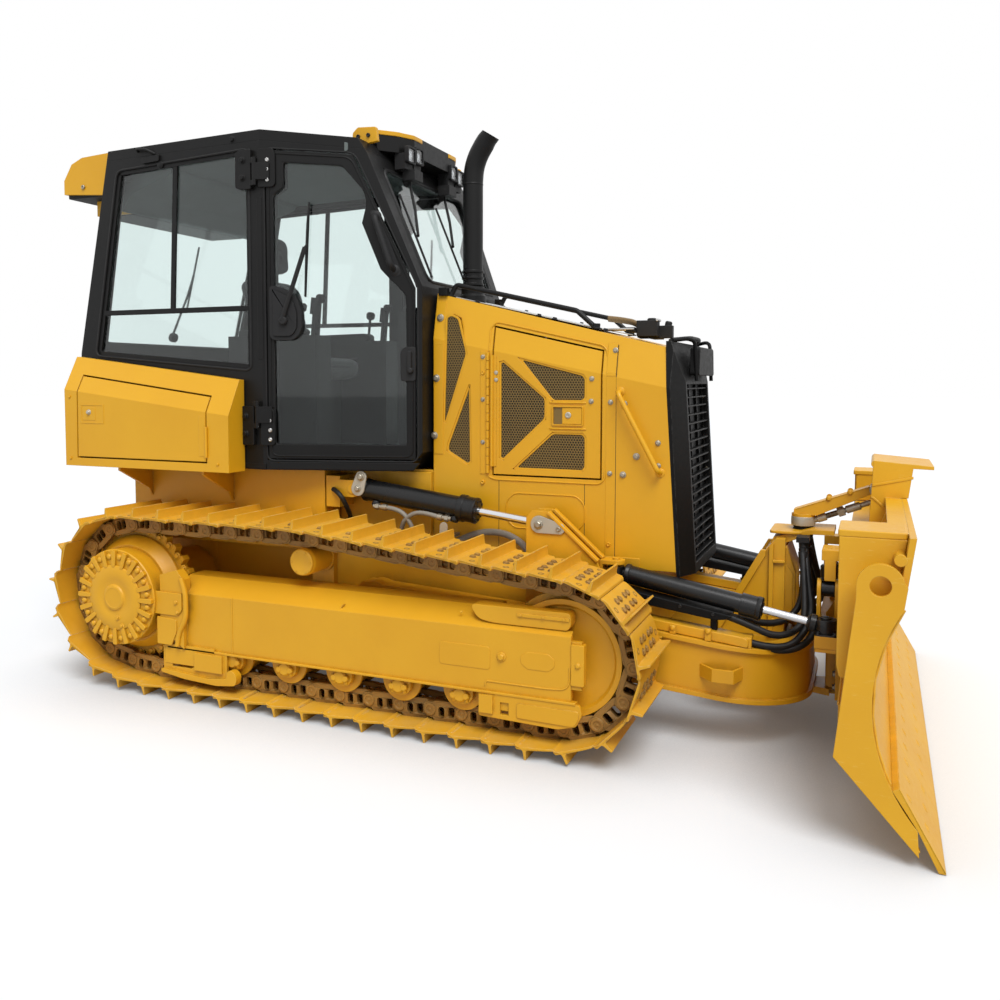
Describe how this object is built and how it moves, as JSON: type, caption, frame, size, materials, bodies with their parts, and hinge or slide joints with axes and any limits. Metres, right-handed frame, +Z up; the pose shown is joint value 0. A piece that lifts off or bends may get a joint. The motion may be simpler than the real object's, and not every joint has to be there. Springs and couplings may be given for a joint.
{
  "type": "bulldozer",
  "caption": "Small track-type bulldozer with an enclosed cab and a blade that lifts, angles and tilts on a C-frame worked by hydraulic cylinders.",
  "frame": {"origin": "on the ground under the middle of the machine's length, on its centre plane", "axes": "+X forward towards the blade, +Y to the machine's left, +Z up"},
  "size_m": [4.414, 2.58, 2.7905],
  "materials": {
    "yellow_paint": "semi-gloss machine enamel",
    "black_paint": "satin enamel",
    "worn_paint": "machine enamel on steel, dusty in the joints and worn pale on the edges",
    "cast_metal": "painted casting",
    "chromed_rod": "polished",
    "window_glass": "lightly tinted safety glass",
    "black_plastic": "grained",
    "seat_cloth": "woven cloth"
  },
  "bodies": {
    "chassis": {"main_frame": "yellow_paint", "rear_body": "yellow_paint", "engine_block": "cast_metal", "final_drives": "yellow_paint", "sprockets": "worn_paint", "track_left": "worn_paint", "track_right": "worn_paint", "track_frames": "yellow_paint", "idlers": "worn_paint", "track_rollers": "yellow_paint", "carrier_rollers": "yellow_paint", "hood": "yellow_paint", "radiator_guard": "yellow_paint", "grille": "black_paint", "exhaust_stack": "black_paint", "hood_rails": "black_paint", "cab_frame": "black_paint", "cab_roof": "black_paint", "cab_glass": "window_glass", "roof_visor": "yellow_paint", "work_lights": "black_plastic", "roof_pod": "yellow_paint", "seat_base": "black_plastic", "seat_cushion": "seat_cloth", "seat_back": "seat_cloth", "cab_console": "black_plastic", "lockers": "yellow_paint"},
    "cab_door_left": {"cab_door_left": "black_paint", "door_glass_left": "window_glass"},
    "engine_door_left": {"engine_door_left": "yellow_paint"},
    "locker_door_left": {"locker_door_left": "yellow_paint"},
    "lift_barrel_left": {"lift_barrel_left": "black_paint"},
    "lift_rod_left": {"lift_rod_left": "chromed_rod"},
    "angle_barrel_left": {"angle_barrel_left": "black_paint"},
    "angle_rod_left": {"angle_rod_left": "chromed_rod"},
    "cab_door_right": {"cab_door_right": "black_paint", "door_glass_right": "window_glass"},
    "engine_door_right": {"engine_door_right": "yellow_paint"},
    "locker_door_right": {"locker_door_right": "yellow_paint"},
    "lift_barrel_right": {"lift_barrel_right": "black_paint"},
    "lift_rod_right": {"lift_rod_right": "chromed_rod"},
    "angle_barrel_right": {"angle_barrel_right": "black_paint"},
    "angle_rod_right": {"angle_rod_right": "chromed_rod"},
    "lift_frame": {"c_frame": "yellow_paint", "tower": "yellow_paint", "lift_lugs": "yellow_paint"},
    "swing": {"swing_carrier": "yellow_paint", "pitch_link": "yellow_paint"},
    "tilt_barrel": {"tilt_barrel": "black_paint"},
    "tilt_rod": {"tilt_rod": "chromed_rod"},
    "blade": {"blade": "yellow_paint", "blade_back": "yellow_paint", "cutting_edge": "worn_paint"}
  },
  "joints": [
    {"name": "cab_door_left_hinge", "type": "hinge", "parent": "chassis", "child": "cab_door_left", "pos_m": [-0.827, 0.745, 1.9], "axis": [0, 0, 1], "range_deg": [0, 95]},
    {"name": "engine_door_left_hinge", "type": "hinge", "parent": "chassis", "child": "engine_door_left", "pos_m": [0.271, 0.4075, 1.4], "axis": [0, 0, 1], "range_deg": [0, 100]},
    {"name": "locker_door_left_hinge", "type": "hinge", "parent": "chassis", "child": "locker_door_left", "pos_m": [-1.047, 0.8565, 1.255], "axis": [0, 0, -1], "range_deg": [0, 100]},
    {"name": "cab_door_right_hinge", "type": "hinge", "parent": "chassis", "child": "cab_door_right", "pos_m": [-0.827, -0.745, 1.9], "axis": [0, 0, -1], "range_deg": [0, 95]},
    {"name": "engine_door_right_hinge", "type": "hinge", "parent": "chassis", "child": "engine_door_right", "pos_m": [0.271, -0.4075, 1.4], "axis": [0, 0, -1], "range_deg": [0, 100]},
    {"name": "locker_door_right_hinge", "type": "hinge", "parent": "chassis", "child": "locker_door_right", "pos_m": [-1.047, -0.8565, 1.255], "axis": [0, 0, 1], "range_deg": [0, 100]},
    {"name": "lift", "type": "hinge", "parent": "chassis", "child": "lift_frame", "pos_m": [-0.295, 0, 0.47], "axis": [0, 1, 0], "range_deg": [-17, 13.5]},
    {"name": "lift_barrel_left_pitch", "type": "hinge", "parent": "chassis", "child": "lift_barrel_left", "pos_m": [-0.408, 0.505, 1.027], "axis": [0, 1, 0], "range_deg": [-14.2, 11.3]},
    {"name": "lift_rod_left_slide", "type": "slide", "parent": "lift_barrel_left", "child": "lift_rod_left", "axis": [0.9925, 0, -0.1226], "range_m": [-0.162, 0.129]},
    {"name": "lift_barrel_right_pitch", "type": "hinge", "parent": "chassis", "child": "lift_barrel_right", "pos_m": [-0.408, -0.505, 1.027], "axis": [0, 1, 0], "range_deg": [-14.2, 11.3]},
    {"name": "lift_rod_right_slide", "type": "slide", "parent": "lift_barrel_right", "child": "lift_rod_right", "axis": [0.9925, 0, -0.1226], "range_m": [-0.162, 0.129]},
    {"name": "blade_angle", "type": "hinge", "parent": "lift_frame", "child": "swing", "pos_m": [1.665, 0, 0.3], "axis": [0, 0, 1], "range_deg": [-25, 25]},
    {"name": "angle_barrel_left_yaw", "type": "hinge", "parent": "lift_frame", "child": "angle_barrel_left", "pos_m": [0.905, 0.47, 0.71], "axis": [0, 0.5235, 0.852], "range_deg": [-4.4, 4.4]},
    {"name": "angle_rod_left_slide", "type": "slide", "parent": "angle_barrel_left", "child": "angle_rod_left", "axis": [0.9848, 0, -0.1737], "range_m": [-0.201, 0.201]},
    {"name": "angle_barrel_right_yaw", "type": "hinge", "parent": "lift_frame", "child": "angle_barrel_right", "pos_m": [0.905, -0.47, 0.71], "axis": [0, -0.5235, 0.852], "range_deg": [-4.4, 4.4]},
    {"name": "angle_rod_right_slide", "type": "slide", "parent": "angle_barrel_right", "child": "angle_rod_right", "axis": [0.9848, 0, -0.1737], "range_m": [-0.201, 0.201]},
    {"name": "blade_tilt", "type": "hinge", "parent": "swing", "child": "blade", "pos_m": [1.853, 0, 0.3], "axis": [1, 0, 0], "range_deg": [-7, 7]},
    {"name": "tilt_barrel_roll", "type": "hinge", "parent": "swing", "child": "tilt_barrel", "pos_m": [1.795, -0.33, 0.68], "axis": [1, 0, 0], "range_deg": [-3.1, 3.1]},
    {"name": "tilt_rod_slide", "type": "slide", "parent": "tilt_barrel", "child": "tilt_rod", "axis": [0, 1, 0], "range_m": [-0.048, 0.048]}
  ],
  "couplings": [
    {"joint": "lift_barrel_left_pitch", "follows": "lift", "ratio": 0.825},
    {"joint": "lift_rod_left_slide", "follows": "lift", "m_per_rad": 0.542},
    {"joint": "lift_barrel_right_pitch", "follows": "lift", "ratio": 0.825},
    {"joint": "lift_rod_right_slide", "follows": "lift", "m_per_rad": 0.542},
    {"joint": "angle_barrel_left_yaw", "follows": "blade_angle", "ratio": 0.17},
    {"joint": "angle_rod_left_slide", "follows": "blade_angle", "m_per_rad": -0.458},
    {"joint": "angle_barrel_right_yaw", "follows": "blade_angle", "ratio": 0.17},
    {"joint": "angle_rod_right_slide", "follows": "blade_angle", "m_per_rad": 0.458},
    {"joint": "tilt_barrel_roll", "follows": "blade_tilt", "ratio": 0.431},
    {"joint": "tilt_rod_slide", "follows": "blade_tilt", "m_per_rad": -0.38}
  ]
}
